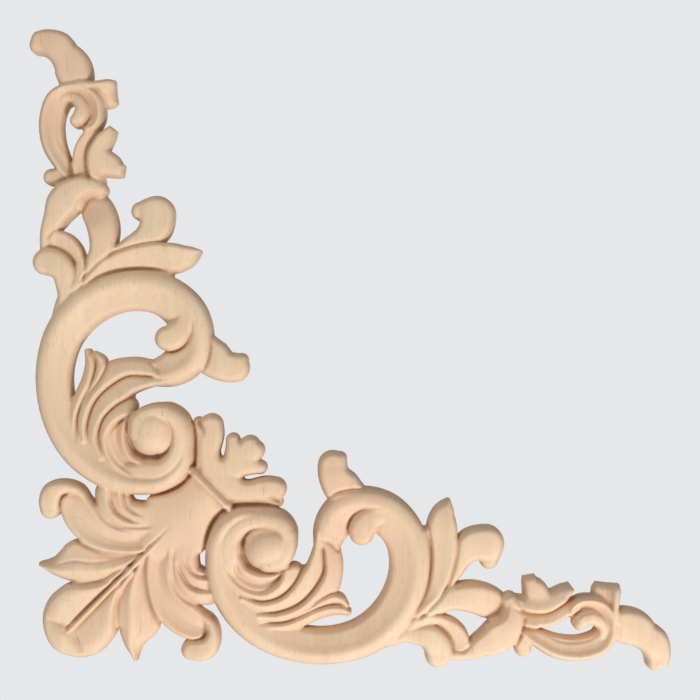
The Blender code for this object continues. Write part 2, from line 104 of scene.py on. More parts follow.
# %% [markdown]
# Some edges of the carving are only a line cut with a V-tool. These are drawn too: where the line runs,
# how far it reaches to each side and how deep it is, fading at both ends. The two cuts beside the midrib
# are not alike, so they are not mirrored.

# %% Cut lines
NOTCH = ((-1, 0), (-0.5, 0.35), (0, 1), (0.5, 0.35), (1, 0))
CUTS = {
    "calyx_edge": ((151.6, 8.6, 0.5, 0.6), (153.3, 12.6, 0.8, 1.5), (153.9, 17.0, 0.8, 1.5),
                   (153.1, 20.6, 0.7, 1.2), (150.6, 23.4, 0.4, 0.3)),
    "fold_edge": ((141.4, 14.8, 0.5, 0.6), (144.5, 15.6, 0.8, 1.4), (147.2, 17.2, 0.8, 1.4),
                  (148.7, 20.0, 0.7, 1.2), (148.8, 22.6, 0.4, 0.3)),
    "scroll_against_leaf": ((124.0, 46.4, 0.5, 0.8), (125.0, 40.0, 0.9, 1.6), (125.2, 34.0, 0.9, 1.6),
                            (123.8, 26.0, 0.8, 1.4), (121.5, 21.0, 0.6, 1.0), (118.6, 17.0, 0.4, 0.2)),
    "lobe_against_lobe": ((121.4, 14.0, 0.4, 0.2), (125.0, 14.8, 0.7, 1.0), (128.6, 13.4, 0.8, 1.4),
                          (131.0, 10.4, 0.8, 1.4), (132.0, 6.6, 0.6, 0.8)),
    "lobe_against_calyx": ((132.6, 6.6, 0.4, 0.4), (135.0, 6.4, 0.7, 1.2), (137.6, 8.6, 0.5, 0.6)),
    "side_leaf_left": ((27.3, 12.6, 0.7, 1.4), (26.9, 17.0, 0.7, 1.2), (27.5, 22.0, 0.7, 1.0),
                       (29.0, 27.0, 0.6, 0.8), (31.0, 30.6, 0.4, 0.3)),
    "side_leaf_right": ((41.4, 14.2, 0.6, 1.0), (39.3, 18.0, 0.8, 1.7), (37.7, 22.6, 0.9, 2.0),
                        (36.9, 27.0, 0.9, 2.0), (36.7, 32.0, 0.8, 1.7), (37.4, 37.0, 0.5, 0.5)),
    "first_pleat": ((43.4, 37.6, 0.4, 0.2), (43.9, 32.0, 0.7, 0.8), (45.2, 27.2, 0.8, 1.1),
                    (48.2, 23.2, 0.8, 1.3), (52.0, 20.9, 0.7, 1.2), (56.0, 19.6, 0.5, 0.6)),
    "curl_fold": ((49.6, 10.2, 0.4, 0.4), (52.6, 10.1, 0.9, 1.6), (54.8, 10.9, 1.0, 2.0),
                  (56.0, 12.8, 0.8, 1.4), (56.0, 15.8, 0.4, 0.2)),
    "body_against_volute": ((54.6, 37.6, 0.7, 1.2), (55.8, 42.6, 1.1, 2.4), (57.6, 46.8, 1.2, 2.8),
                            (60.2, 49.8, 1.0, 2.2), (64.0, 51.6, 0.9, 1.8), (70.0, 52.0, 0.9, 1.8),
                            (75.6, 51.6, 0.8, 1.6), (78.4, 50.8, 0.6, 1.0)),
    "lobe_curl": ((73.0, 54.6, 0.4, 0.3), (75.4, 54.4, 0.9, 1.4), (77.4, 53.3, 1.0, 2.0),
                  (79.0, 52.4, 0.6, 1.0)),
    "bud_crease": ((109.6, 51.2, 0.4, 0.3), (104.6, 50.8, 0.7, 0.9), (101.0, 48.5, 0.8, 1.3),
                   (99.5, 45.0, 0.9, 1.6), (99.8, 42.0, 0.8, 1.4), (100.6, 40.2, 0.6, 1.0)),
    "horn_root": ((93.0, 54.0, 0.6, 0.8), (96.4, 55.9, 0.8, 1.3), (101.0, 56.8, 0.8, 1.2),
                  (106.0, 56.6, 0.4, 0.3)),
    "leaf_over_stem": ((90.4, 41.6, 0.4, 0.2), (93.8, 40.2, 0.7, 0.9), (96.6, 37.4, 0.7, 1.2)),
    "side_leaf_vein": ((33.0, 8.0, 0.3, 0.1), (34.6, 14.0, 0.7, 0.5), (34.2, 20.0, 0.7, 0.5),
                       (34.8, 27.0, 0.4, 0.1)),
    "fold_inside_rim": ((13.2, 13.8, 0.5, 0.5), (10.8, 15.0, 1.1, 1.1), (8.6, 15.9, 1.3, 0.9),
                        (6.6, 17.0, 1.0, 0.3)),
    "ring_inside": ((160.0, 12.6, 0.3, 0.1), (164.0, 10.0, 0.6, 0.5), (170.0, 9.2, 0.6, 0.6),
                    (175.6, 10.6, 0.5, 0.4), (178.4, 13.6, 0.3, 0.1)),
}
MIDDLE_CUTS = {
    "shaded_side_of_midrib": ((11.8, 13.5, 0.6, 1.0), (18.0, 19.7, 0.8, 1.4), (25.0, 26.6, 0.8, 1.5),
                              (31.0, 32.5, 0.7, 1.4), (37.0, 38.4, 0.6, 0.9), (44.0, 45.3, 0.4, 0.2)),
    "lit_side_of_midrib": ((13.5, 12.4, 0.4, 0.2), (19.6, 18.2, 0.6, 0.5), (26.4, 25.0, 0.6, 0.5),
                           (32.3, 31.0, 0.6, 0.4), (38.2, 37.0, 0.4, 0.1)),
}
print(len(CUTS), "cuts in an arm,", len(MIDDLE_CUTS), "on the diagonal")

# %% [markdown]
# The stations are read off the onlay as a carver would read a drawing: where a form starts, turns, swells
# and ends. The tables follow the ornament, from the C scroll out to the tip of the arm and then to the
# corner.

# %% The C scroll, its eye and the horn
# Each stroke: cross-section, start end, finish end, and its stations (u, v, half-width, height).
SCROLL = {
    "volute": (TURN, "flat", "flat", (
        (81.2, 40.6, 2.4, 13.6), (81.0, 43.6, 2.7, 13.7), (78.4, 47.0, 3.0, 13.6),
        (72.4, 48.4, 3.1, 13.2), (66.2, 46.8, 3.6, 12.7), (61.9, 42.4, 4.0, 12.3),
        (61.2, 36.6, 4.4, 11.6), (62.2, 31.6, 2.8, 10.6), (63.6, 28.4, 1.2, 9.6))),
    "scroll": (RIM, "flat", "flat", (
        (70.4, 48.4, 3.1, 12.4), (65.6, 46.9, 4.2, 12.7), (61.2, 42.0, 4.9, 12.6),
        (60.2, 36.0, 5.2, 12.3), (61.3, 29.0, 5.7, 12.0), (64.9, 21.8, 6.4, 11.7),
        (70.8, 15.2, 6.5, 11.4), (78.4, 10.2, 5.8, 11.1), (87.2, 7.9, 5.6, 10.9),
        (96.4, 8.1, 5.7, 10.8), (105.2, 11.0, 6.0, 10.8), (112.8, 17.4, 6.3, 10.8),
        (117.6, 26.0, 6.5, 10.8), (118.6, 34.6, 6.4, 10.7), (116.6, 42.8, 6.5, 10.6),
        (111.0, 48.9, 6.6, 10.4), (103.8, 51.0, 6.4, 10.2), (97.4, 49.2, 6.0, 10.0),
        (94.2, 44.4, 5.7, 9.9), (92.6, 38.6, 4.1, 9.7))),
    "eye": (ROUND, "round", "round", (
        (67.7, 38.7, 6.2, 14.4), (75.1, 38.7, 6.4, 15.0), (82.6, 38.7, 6.3, 15.0))),
    "eye_crown": (SOFT, "round", "round", (
        (79.6, 41.0, 2.0, 12.8), (76.4, 42.8, 2.4, 12.6), (71.8, 42.8, 2.6, 12.3),
        (69.0, 39.8, 1.7, 11.8))),
    "eye_turn": (SOFT, "flat", "round", (
        (80.6, 43.8, 2.6, 13.5), (80.7, 39.4, 2.9, 14.0), (78.6, 35.8, 3.1, 14.2),
        (72.0, 34.8, 2.8, 13.4))),
    "horn": (SOFT, "flat", "round", (
        (102.4, 53.0, 4.6, 8.6), (97.8, 56.9, 5.8, 9.0), (94.9, 61.4, 4.9, 9.2),
        (94.6, 68.4, 4.3, 8.0))),
    "horn_point": (SOFT, "flat", "round", (
        (94.4, 61.0, 3.0, 8.8), (96.1, 64.4, 2.7, 8.4), (97.6, 67.6, 1.6, 7.6))),
    "inner_curl": (SOFT, "flat", "round", (
        (111.6, 48.6, 1.6, 9.0), (107.0, 47.8, 3.3, 9.9), (104.2, 45.0, 4.0, 10.4),
        (103.1, 39.6, 3.4, 9.8))),
}
print(len(SCROLL), "strokes make the scroll, its eye and the horn")

# %% [markdown]
# Inside the C lies a spray of leaves that overlap like shingles. Each shows a high edge towards the eye and
# falls away behind it, so they get the blade section, and later a cut along the high edge.

# %% The leaves inside the C scroll
SCROLL_LEAVES = {
    "inner_band": (HOLLOW, "flat", "flat", (
        (63.0, 40.0, 1.8, 11.4), (63.2, 35.0, 2.6, 11.3), (65.6, 30.4, 2.8, 11.2),
        (70.6, 27.7, 3.0, 11.0), (76.4, 28.1, 2.4, 10.6), (81.0, 31.0, 1.2, 10.0))),
    "lobe_flute": (BLADE, "flat", "round", (
        (60.4, 32.6, 0.8, 11.3), (63.8, 27.0, 1.4, 11.3), (68.4, 23.8, 1.8, 11.2),
        (73.6, 23.0, 2.0, 11.2), (78.6, 25.1, 2.5, 11.2), (81.8, 28.6, 3.0, 11.2),
        (82.9, 33.6, 2.8, 10.6))),
    "stem_flute": (BLADE, "flat", "flat", (
        (66.0, 22.6, 1.2, 10.9), (72.6, 19.9, 1.9, 11.0), (79.6, 21.2, 2.3, 11.0),
        (85.6, 25.4, 3.3, 10.9), (89.2, 31.6, 3.3, 10.6), (90.4, 37.6, 2.2, 10.4),
        (91.3, 44.0, 1.6, 9.9))),
    "bulge_flute": (BLADE, "flat", "flat", (
        (71.6, 17.2, 0.9, 10.6), (78.0, 16.8, 1.6, 10.7), (85.6, 19.0, 2.3, 10.7),
        (92.2, 24.4, 3.2, 10.5), (95.0, 30.6, 2.8, 10.3), (94.7, 36.4, 2.5, 10.1),
        (92.0, 42.4, 0.8, 9.8))),
    "upper_blade": (BLADE, "flat", "point", (
        (83.0, 16.6, 0.6, 9.9), (88.0, 18.6, 1.4, 9.8), (92.6, 21.2, 2.0, 9.6), (96.4, 22.2, 2.0, 9.2),
        (99.6, 20.0, 0.4, 8.6))),
    "lower_blade": (BLADE, "flat", "round", (
        (71.0, 14.4, 0.6, 10.0), (79.6, 14.0, 1.2, 10.1), (85.4, 15.7, 1.6, 10.0),
        (90.6, 18.0, 1.7, 9.8), (95.6, 19.0, 1.6, 9.4), (100.6, 18.0, 0.9, 8.6))),
}
print(len(SCROLL_LEAVES), "leaves lie inside the scroll")

# %% [markdown]
# Where the scroll runs into the neck of the arm, leaves fan out on both sides: a pointed leaf and a hooked
# leaf above, two lobes below, and a leaf that folds over the neck. One long stroke could not turn as
# sharply as the hooked leaf does without crossing itself, so its tip is a stroke of its own.

# %% The leaves of the neck
NECK_LEAVES = {
    "root": (SOFT, "flat", "flat", (
        (106.0, 8.6, 2.6, 8.6), (114.0, 12.4, 4.3, 8.8), (121.5, 16.6, 5.0, 8.8),
        (129.0, 21.5, 3.2, 8.4))),
    "point_leaf": (BLADE, "point", "flat", (
        (130.9, 53.6, 0.4, 7.4), (130.0, 51.4, 2.4, 8.2), (129.0, 48.4, 3.9, 8.8),
        (128.6, 44.4, 4.8, 9.2), (128.7, 37.0, 4.1, 9.4), (126.6, 27.0, 2.9, 9.5),
        (119.6, 16.8, 1.2, 9.4))),
    "hook_leaf": (SOFT, "flat", "round", (
        (119.4, 15.0, 1.2, 9.0), (128.6, 25.6, 1.9, 9.2), (132.0, 30.6, 2.7, 9.2),
        (134.9, 36.4, 4.2, 9.2), (138.4, 39.3, 5.3, 9.2), (148.2, 40.0, 5.4, 8.8))),
    "hook_tip": (SOFT, "round", "round", (
        (142.9, 43.4, 4.4, 9.0), (143.4, 38.4, 4.4, 8.8), (143.4, 35.6, 3.4, 8.4),
        (142.9, 32.7, 1.7, 7.6))),
    "arch_leaf": (SOFT, "flat", "flat", (
        (118.0, 13.6, 1.6, 9.0), (123.5, 18.9, 2.4, 9.6), (131.0, 22.7, 3.8, 10.2),
        (138.5, 23.0, 4.9, 9.8), (144.6, 20.4, 5.0, 7.0), (148.0, 16.8, 3.6, 4.4))),
    "front_lobe": (SOFT, "flat", "round", (
        (112.0, 11.6, 1.8, 8.8), (119.6, 11.3, 2.8, 9.2), (124.4, 10.6, 3.8, 9.6),
        (127.2, 7.4, 4.2, 9.4), (127.1, 1.3, 3.8, 8.2))),
    "back_lobe": (BLADE, "flat", "round", (
        (118.0, 15.0, 1.2, 8.6), (126.4, 16.1, 1.7, 8.8), (131.6, 14.0, 2.4, 8.8),
        (134.2, 10.0, 3.0, 8.4), (133.0, 4.6, 2.6, 7.4))),
    "calyx": (SOFT, "flat", "round", (
        (130.7, 4.3, 1.1, 7.3), (136.4, 5.8, 2.5, 8.4), (141.0, 8.2, 3.8, 9.6),
        (146.0, 11.0, 5.2, 10.4), (150.2, 15.4, 3.7, 10.6), (150.9, 19.6, 2.8, 10.0),
        (149.0, 24.2, 1.7, 9.2))),
}
print(len(NECK_LEAVES), "strokes make the neck")

# %% [markdown]
# The arm ends in a small open scroll with fronds above it, a cup-shaped leaf and a drooping leaf at the
# tip. The ring is steep on its inner side, which leaves it in shade, as the small opening is only a few
# millimetres wide.

# %% The small scroll at the end of the arm
END_SCROLL = {
    "upper_frond": (BLADE, "flat", "flat", (
        (169.2, 26.2, 1.3, 7.4), (167.2, 24.8, 2.2, 8.2), (164.0, 22.9, 2.6, 9.0),
        (160.4, 21.3, 2.7, 9.4), (155.0, 21.2, 2.2, 9.4), (149.6, 22.6, 1.4, 9.0))),
    "back_frond": (SOFT, "flat", "flat", (
        (155.9, 29.5, 1.9, 7.2), (156.2, 28.0, 2.5, 7.4), (157.4, 25.6, 3.8, 7.8),
        (159.4, 21.8, 4.2, 8.0))),
    "lower_frond": (BLADE, "round", "flat", (
        (171.4, 21.4, 1.6, 7.8), (167.2, 19.2, 2.2, 8.6), (162.8, 16.5, 2.2, 8.8),
        (158.0, 15.5, 1.9, 8.8), (152.0, 16.8, 1.8, 8.6))),
    "ring": (STEEP, "flat", "round", (
        (152.8, 14.0, 1.6, 8.8), (158.2, 10.4, 2.9, 9.2), (164.6, 7.4, 3.7, 9.6),
        (171.8, 6.8, 3.9, 9.6), (178.2, 9.2, 3.9, 9.6), (180.3, 14.6, 3.2, 9.6),
        (178.2, 19.6, 3.0, 9.4), (173.8, 21.2, 2.6, 9.4), (170.6, 20.2, 2.4, 9.2),
        (168.6, 16.4, 1.7, 8.4))),
    "ring_curl": (SOFT, "flat", "round", (
        (178.6, 10.6, 1.6, 8.0), (178.4, 14.2, 1.8, 8.8), (175.4, 16.6, 2.2, 9.6),
        (172.6, 16.0, 2.4, 9.8), (170.2, 13.4, 1.7, 9.0))),
    "bud": (SOFT, "flat", "round", (
        (152.6, 12.0, 2.4, 8.0), (153.8, 8.4, 2.8, 8.0), (154.0, 4.6, 2.2, 7.2))),
    "cup_leaf": (CUP, "flat", "flat", (
        (180.4, 27.0, 3.5, 8.0), (180.2, 25.4, 4.3, 8.6), (179.9, 23.0, 4.2, 9.0),
        (181.0, 20.0, 2.6, 9.2), (181.9, 15.0, 1.6, 9.4))),
    "cup_edge": (SOFT, "flat", "flat", (
        (181.8, 14.0, 1.1, 9.4), (182.4, 20.0, 1.2, 9.6), (182.7, 23.6, 1.4, 9.4),
        (182.8, 26.8, 1.3, 8.4))),
    "end_leaf": (SOFT, "flat", "round", (
        (180.4, 14.4, 4.4, 8.4), (185.4, 14.2, 5.6, 8.8), (189.6, 12.8, 5.6, 8.8),
        (193.2, 9.0, 4.0, 8.6), (195.0, 4.6, 2.9, 8.2), (195.0, 0.0, 2.8, 7.4))),
    "end_tip": (SOFT, "flat", "round", (
        (189.5, 12.8, 3.2, 8.2), (194.4, 9.4, 4.7, 8.9), (196.6, 5.4, 3.45, 8.6),
        (196.3, 1.2, 2.4, 7.6))),
}
print(len(END_SCROLL), "strokes make the small scroll and the tip")

# %% [markdown]
# The big corner leaf lies on the diagonal. Each arm has one of its pointed side leaves, with a ridge, one
# of its hollow hooked leaves, and the folds that tuck under the scroll.

# %% The side leaves of the corner
CORNER_LEAVES = {
    "side_leaf": (RIDGE, "point", "flat", (
        (33.2, 2.8, 0.5, 6.8), (32.8, 5.4, 1.7, 7.4), (32.6, 8.2, 3.3, 8.0), (33.0, 11.2, 5.1, 8.5),
        (33.8, 14.4, 6.8, 8.9), (34.0, 18.4, 7.1, 9.2), (33.4, 23.0, 5.4, 9.4),
        (34.8, 31.0, 2.8, 9.4), (38.0, 37.6, 1.2, 9.6))),
    "curl_leaf": (HOLLOW, "flat", "flat", (
        (43.0, 44.0, 3.0, 10.2), (40.9, 34.6, 4.1, 10.4), (41.2, 27.0, 4.4, 10.5),
        (44.8, 20.0, 5.3, 10.5), (50.2, 15.6, 5.4, 10.0), (55.8, 13.0, 3.6, 9.0))),
    "curl_hook": (SOFT, "point", "round", (
        (53.4, 19.0, 0.5, 9.4), (56.6, 15.6, 1.5, 9.8), (57.5, 11.4, 2.2, 10.2),
        (56.0, 7.8, 3.3, 10.2), (52.8, 6.8, 3.6, 9.8), (47.9, 7.0, 2.6, 8.6))),
    "fold_body": (SOFT, "flat", "flat", (
        (50.6, 46.0, 4.6, 10.0), (49.0, 39.0, 4.2, 10.0), (48.6, 34.4, 4.3, 9.8),
        (50.0, 30.4, 4.0, 9.6), (53.4, 28.0, 4.0, 9.2), (58.6, 26.8, 3.2, 8.6))),
    "lower_fold": (BLADE, "flat", "round", (
        (45.4, 35.0, 0.7, 10.1), (45.9, 30.4, 1.5, 10.4), (48.4, 25.6, 2.1, 10.4),
        (52.2, 23.3, 2.3, 10.2), (58.6, 22.8, 2.2, 9.4))),
    "upper_fold": (BLADE, "flat", "flat", (
        (47.6, 36.6, 0.6, 10.0), (48.2, 32.6, 1.3, 10.2), (50.4, 29.0, 1.9, 10.2),
        (53.6, 27.4, 2.2, 9.9), (58.4, 27.0, 2.2, 9.2))),
}
print(len(CORNER_LEAVES), "strokes make one side of the corner leaf")

# %% [markdown]
# On the inner side of the bar a small leaf fans out. Its lobes are short, rounded strokes with slits
# between them, which are left open as a saw would leave them.

# %% The lobes of the inner leaf
INNER_LEAVES = {
    "inner_side_lobe": (SOFT, "flat", "round", (
        (57.0, 57.4, 5.2, 9.8), (62.4, 57.4, 4.4, 9.8), (67.6, 56.3, 3.2, 9.8), (74.0, 56.9, 3.7, 9.7),
        (80.2, 56.2, 3.4, 8.8))),
    "inner_under_fold": (SOFT, "flat", "round", (
        (62.0, 53.6, 2.4, 8.6), (70.0, 53.2, 2.0, 8.6), (75.4, 52.9, 1.7, 8.4),
        (79.4, 52.4, 1.3, 7.6))),
    "inner_bump": (SOFT, "flat", "round", (
        (62.0, 62.6, 3.4, 9.4), (66.6, 63.5, 2.9, 9.2), (70.0, 63.7, 2.5, 9.0),
        (74.0, 63.1, 1.8, 8.2))),
    "inner_bump_far": (SOFT, "flat", "round", (
        (64.0, 67.0, 2.6, 8.4), (69.6, 68.6, 3.2, 9.0), (73.1, 69.1, 2.5, 8.2))),
}
print(len(INNER_LEAVES), "lobes on each side of the inner leaf")

# %% [markdown]
# Between neighbouring forms the real piece has ground, not slits. Low flat strokes fill it in, and they
# show only at the bottom of the deepest creases.

# %% The low ground between the forms
# Each entry's stations are (u, v, half-width). All of this ground is CORE_HEIGHT high.
CORES = {
    "core_eye": (
        (62.0, 44.0, 4.0), (64.6, 33.0, 5.0), (73.0, 27.0, 6.0), (80.6, 27.0, 5.8), (87.0, 31.4, 1.6)),
    "core_leaves": (
        (66.0, 22.0, 5.0), (76.0, 18.5, 4.6), (86.0, 20.5, 4.6), (93.0, 27.0, 4.0), (93.6, 38.0, 3.6)),
    "core_neck": ((112.0, 13.0, 4.0), (122.0, 20.0, 4.6), (126.0, 32.0, 3.4), (125.6, 45.0, 3.4)),
    "core_hook": ((124.0, 18.0, 4.0), (129.0, 26.5, 2.6), (134.0, 35.0, 3.0)),
    "core_lobes": ((116.0, 12.6, 3.6), (126.0, 12.8, 3.6), (131.2, 8.6, 3.4)),
    "core_fronds": ((149.6, 19.0, 3.4), (158.0, 18.4, 2.8), (164.6, 20.0, 2.8), (169.4, 20.8, 1.4)),
    "core_folds": ((42.0, 40.0, 3.0), (46.6, 32.0, 3.4), (49.0, 26.6, 3.0), (59.0, 24.4, 3.0)),
    "core_shoulder": ((52.0, 44.0, 4.0), (58.4, 51.0, 4.0), (68.0, 53.0, 2.6)),
    "core_turn": ((65.6, 46.6, 4.0), (70.0, 42.4, 5.0), (80.8, 34.6, 4.4)),
}
print(len(CORES), "strokes make the ground")

# %% [markdown]
# The last forms lie on the diagonal and are drawn once: the broad end of the corner leaf with its turned-up
# rim, the midrib, the neck that carries everything, the bar and the inner leaf's tip.

# %% The forms on the diagonal
DIAGONAL = {
    "paddle": (LEAF, "round", "flat", (
        (7.7, 7.7, 11.7, 8.2), (12.0, 12.0, 11.8, 8.5), (16.0, 16.0, 11.8, 9.0),
        (20.0, 20.0, 10.4, 9.2), (22.6, 22.6, 6.8, 9.2), (25.4, 25.4, 3.8, 9.4),
        (32.0, 32.0, 1.8, 9.6))),
    "paddle_rim": (SOFT, "flat", "flat", (
        (5.6, 20.0, 0.5, 7.4), (6.4, 14.6, 1.8, 9.0), (10.0, 10.0, 3.4, 9.9), (14.6, 6.4, 1.8, 9.0),
        (20.0, 5.6, 0.5, 7.4))),
    "midrib": (ROUND, "flat", "flat", (
        (12.6, 12.6, 0.5, 9.0), (24.0, 24.0, 0.7, 9.6), (36.0, 36.0, 0.7, 10.6),
        (46.5, 46.5, 0.5, 10.8))),
    "neck": (MOUND, "flat", "flat", (
        (33.0, 33.0, 2.0, 8.6), (38.0, 38.0, 5.6, 9.8), (42.0, 42.0, 9.6, 10.5),
        (46.0, 46.0, 12.0, 11.0), (49.6, 49.6, 9.9, 11.2), (53.0, 53.0, 8.4, 11.2),
        (57.6, 57.6, 8.4, 10.6))),
    "band": (ROUND, "round", "round", (
        (50.0, 63.6, 1.5, 12.2), (56.8, 56.8, 1.5, 12.4), (63.6, 50.0, 1.5, 12.2))),
    "inner_leaf": (SOFT, "flat", "round", (
        (55.0, 55.0, 8.6, 9.6), (60.0, 60.0, 6.6, 9.6), (63.0, 63.0, 4.8, 9.4), (66.0, 66.0, 4.6, 9.2),
        (71.6, 71.6, 4.6, 8.4))),
}
print(len(DIAGONAL), "strokes lie on the diagonal")

# %% [markdown]
# A centre line has to run smoothly through its stations. A centripetal spline does that without loops where
# the stations stand close together, and it is read off at short, even steps.

# %% Smooth centre lines
ROWS_PER_SPAN = 24
LINE_STEP = 0.4
FEWEST_ROWS = 3
MOST_TRIMMED = 0.45


def spline_rows(stations):
    """Rows on the curve through the stations, spaced by their first two columns."""
    points = np.array(stations, float)
    points = np.vstack([2 * points[0] - points[1], points, 2 * points[-1] - points[-2]])
    gaps = np.sqrt(np.linalg.norm(np.diff(points[:, :2], axis=0), axis=1))
    knots = np.concatenate([[0], np.cumsum(gaps)])
    rows = []
    for i in range(1, len(points) - 2):
        for x in np.linspace(knots[i], knots[i + 1], ROWS_PER_SPAN, endpoint=False):
            def mix(low, high, first, second):
                return ((knots[high] - x) * first + (x - knots[low]) * second) / (knots[high] - knots[low])
            a = [mix(k, k + 1, points[k], points[k + 1]) for k in (i - 1, i, i + 1)]
            b = [mix(i - 1, i + 1, a[0], a[1]), mix(i, i + 2, a[1], a[2])]
            rows.append(mix(i, i + 1, b[0], b[1]))
    rows.append(points[-2])
    return np.array(rows)


def even_rows(rows):
    """The same line in even steps, and its length."""
    run = np.concatenate([[0], np.cumsum(np.linalg.norm(np.diff(rows[:, :2], axis=0), axis=1))])
    places = np.linspace(0, run[-1], max(FEWEST_ROWS, int(run[-1] / LINE_STEP) + 1))
    return np.stack([np.interp(places, run, rows[:, c]) for c in range(rows.shape[1])], -1), run[-1]


def trimmed(rows, length, caps):
    """The line without its rounded ends, whose half circles reach as far as the line did."""
    run = np.linspace(0, length, len(rows))
    first, last = (min(cap, length * MOST_TRIMMED) for cap in caps)
    return rows[(run >= first) & (run <= length - last)]


print("rows on the scroll's line:", len(even_rows(spline_rows(SCROLL["scroll"][-1]))[0]))

# %% [markdown]
# A stroke answers one question for any point of the drawing: how high is your surface here, and how far
# inside your edge am I? The nearest row of the centre line gives the place along it and the offset to the
# side. Past its edge a stroke falls away steeply, so that two neighbours meet in a crease. Cross-sections
# are blurred a little, so that no facet edge shows along a leaf.

# %% Soft cross-sections
SECTION_STEPS = 161
SECTION_BLUR = 6
section_places = np.linspace(-1, 1, SECTION_STEPS)


def soft_section(profile):
    """The share of the height at each of the section's places, blurred."""
    share = np.interp(section_places, [p for p, _ in profile], [s for _, s in profile])
    width = 2 * SECTION_BLUR
    bell = np.exp(-(np.arange(-width, width + 1) / SECTION_BLUR) ** 2 / 2)
    padded = np.pad(share, width, mode="reflect", reflect_type="odd")
    return np.convolve(padded, bell / bell.sum(), mode="valid")


print("places across a section:", len(soft_section(RIM)))

# %% How high a stroke stands at any point
FALL = 2.6
REACH = 3
AT_ONCE = 4000
TINY = 1e-6


class Stroke:
    def __init__(self, profile, start, finish, stations):
        rows, length = even_rows(spline_rows(stations))
        caps = [stations[0][2] if start == "round" else 0, stations[-1][2] if finish == "round" else 0]
        self.rows = trimmed(rows, length, caps) if any(caps) else rows
        self.section = soft_section(profile)
        tangent = np.gradient(self.rows[:, :2], axis=0)
        self.tangent = tangent / np.linalg.norm(tangent, axis=1)[:, None]
        self.cut = (start != "round", finish != "round")
        self.lapped = profile == BLADE
        reach = self.rows[:, 2].max() + REACH
        self.low = self.rows[:, :2].min(0) - reach
        self.high = self.rows[:, :2].max(0) + reach

    def near(self, points):
        """Which points are close enough to be worth reading."""
        return np.all((points > self.low) & (points < self.high), axis=1)

    def nearest(self, points):
        """Each point's nearest row, and its place along and to the right of that row."""
        gap = points[:, None] - self.rows[None, :, :2]
        index = np.argmin((gap ** 2).sum(-1), axis=1)
        tangent = self.tangent[index]
        offset = points - self.rows[index, :2]
        along = (offset * tangent).sum(-1)
        side = offset[:, 0] * tangent[:, 1] - offset[:, 1] * tangent[:, 0]
        return index, along, side

    def read(self, points):
        """Height and distance inside the edge for an array of points (u, v)."""
        inside = np.empty(len(points))
        height = np.empty(len(points))
        last = len(self.rows) - 1
        for start in range(0, len(points), AT_ONCE):
            index, along, side = self.nearest(points[start:start + AT_ONCE])
            rows = self.rows[index]
            before = (index == 0) & (along < 0)
            after = (index == last) & (along > 0)
            beyond = before | after
            slide = np.where(beyond, 0, along)
            step = np.clip(index + np.sign(slide).astype(int), 0, last)
            share = np.abs(slide) / LINE_STEP
            half = rows[:, 2] + (self.rows[step, 2] - rows[:, 2]) * share
            crest = rows[:, 3] + (self.rows[step, 3] - rows[:, 3]) * share
            radial = np.where(beyond, np.hypot(side, along), np.abs(side))
            lean = np.where(radial > TINY, side / np.maximum(radial, TINY), 0)
            place = np.clip(radial / half, 0, 1)
            right = np.interp(place, section_places, self.section)
            left = np.interp(-place, section_places, self.section)
            mix = np.where(beyond, (1 + lean) / 2, (lean > 0).astype(float))
            relief = right * mix + left * (1 - mix)
            room = half - radial
            cut = (before & self.cut[0]) | (after & self.cut[1])
            room = np.where(cut, np.minimum(room, -np.abs(along)), room)
            inside[start:start + AT_ONCE] = room
            height[start:start + AT_ONCE] = crest * relief + FALL * np.minimum(room, 0)
        return height, inside

    def beside(self, points):
        """Places beside the left edge: offset from it, height of the edge, and how far from the ends."""
        index, along, side = self.nearest(points)
        rows = self.rows[index]
        last = len(self.rows) - 1
        step = np.clip(index + np.sign(along).astype(int), 0, last)
        share = np.clip(np.abs(along) / LINE_STEP, 0, 1)[:, None]
        rows = rows + (self.rows[step] - rows) * share
        return side + rows[:, 2], rows[:, 3], np.minimum(index, last - index) * LINE_STEP


# %% [markdown]
# Every entry of the tables becomes a stroke. Ground gets a flat section and one height, and a drawn cut
# gets the notch, so one class serves for wood left and wood taken away.

# %% Turn the tables into strokes
arm = {}
for group in (SCROLL, SCROLL_LEAVES, NECK_LEAVES, END_SCROLL, CORNER_LEAVES, INNER_LEAVES):
    for name, stroke in group.items():
        arm[name] = Stroke(*stroke)
cores = {}
for name, stations in CORES.items():
    cores[name] = Stroke(FLAT, "flat", "flat", [(u, v, half, CORE_HEIGHT) for u, v, half in stations])
middle = {name: Stroke(*stroke) for name, stroke in DIAGONAL.items()}
cuts = {name: Stroke(NOTCH, "flat", "flat", stations) for name, stations in CUTS.items()}
middle_cuts = {name: Stroke(NOTCH, "flat", "flat", stations) for name, stations in MIDDLE_CUTS.items()}
print(len(arm), "strokes in an arm,", len(cores), "cores and", len(middle), "strokes on the diagonal")

# %% [markdown]
# The strokes are laid over each other. The highest one shows, and a soft maximum rounds the bottom of each
# crease the way abrasive paper does. The same rule on the distances gives the outline.

# %% Lay the strokes over each other
CREASE_SHARPNESS = 6.0
OUTLINE_SHARPNESS = 8.0


def soft_max(first, second, sharpness):
    top = np.maximum(first, second)
    return top + np.log1p(np.exp(-np.abs(first - second) * sharpness)) / sharpness


def lay(strokes, points, height, inside):
    """Raise the heights and distances, in place, to those of the strokes."""
    for stroke in strokes.values():
        mask = stroke.near(points)
        if mask.any():
            h, room = stroke.read(points[mask])
            height[mask] = soft_max(height[mask], h, CREASE_SHARPNESS)
            inside[mask] = soft_max(inside[mask], room, OUTLINE_SHARPNESS)


# %% [markdown]
# A leaf that laps over its neighbour has a V-tool cut beside its high edge. The cut is only made where that
# edge shows, so it fades near the leaf's ends, far below the edge, and where another form lies on top.

